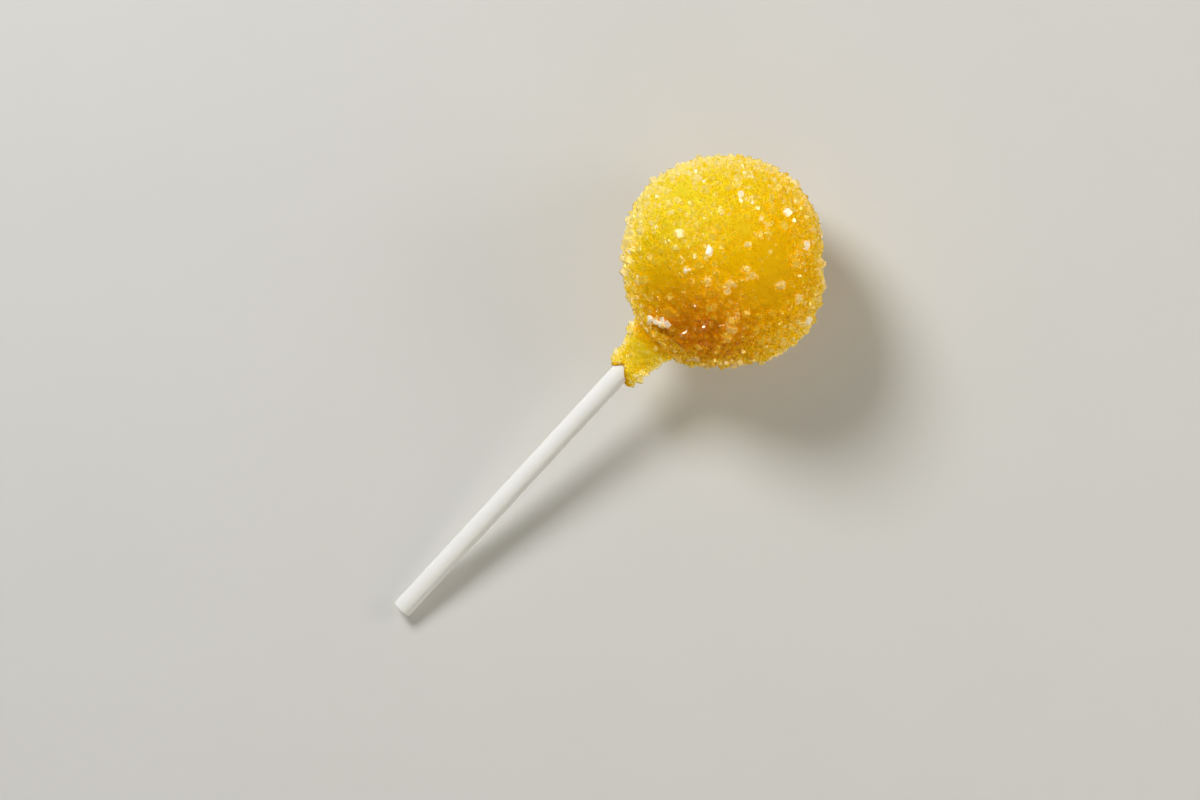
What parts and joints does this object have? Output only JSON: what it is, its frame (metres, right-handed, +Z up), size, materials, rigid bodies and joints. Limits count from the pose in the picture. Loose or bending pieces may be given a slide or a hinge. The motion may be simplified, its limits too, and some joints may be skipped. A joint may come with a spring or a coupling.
{
  "type": "lemon cake pop",
  "caption": "Lemon cake pop lying on its side: a round of cake in yellow icing rolled in coarse sugar crystals, on a white paper stick.",
  "frame": {"origin": "middle of the small flat spot under the ball that the cake pop rests on, right under the ball's centre", "axes": "+Z up, +X from the stick's free end towards the ball, +Y to the left when looking along +X"},
  "size_m": [0.1175, 0.0444, 0.0418],
  "materials": {
    "sugared_icing": "translucent lemon-yellow icing under a crust of clear and yellow sugar crystals",
    "white_paper": "smooth, tightly rolled white paper, satin"
  },
  "bodies": {
    "root": {"iced_cake_ball": "sugared_icing", "paper_stick": "white_paper"}
  },
  "joints": []
}
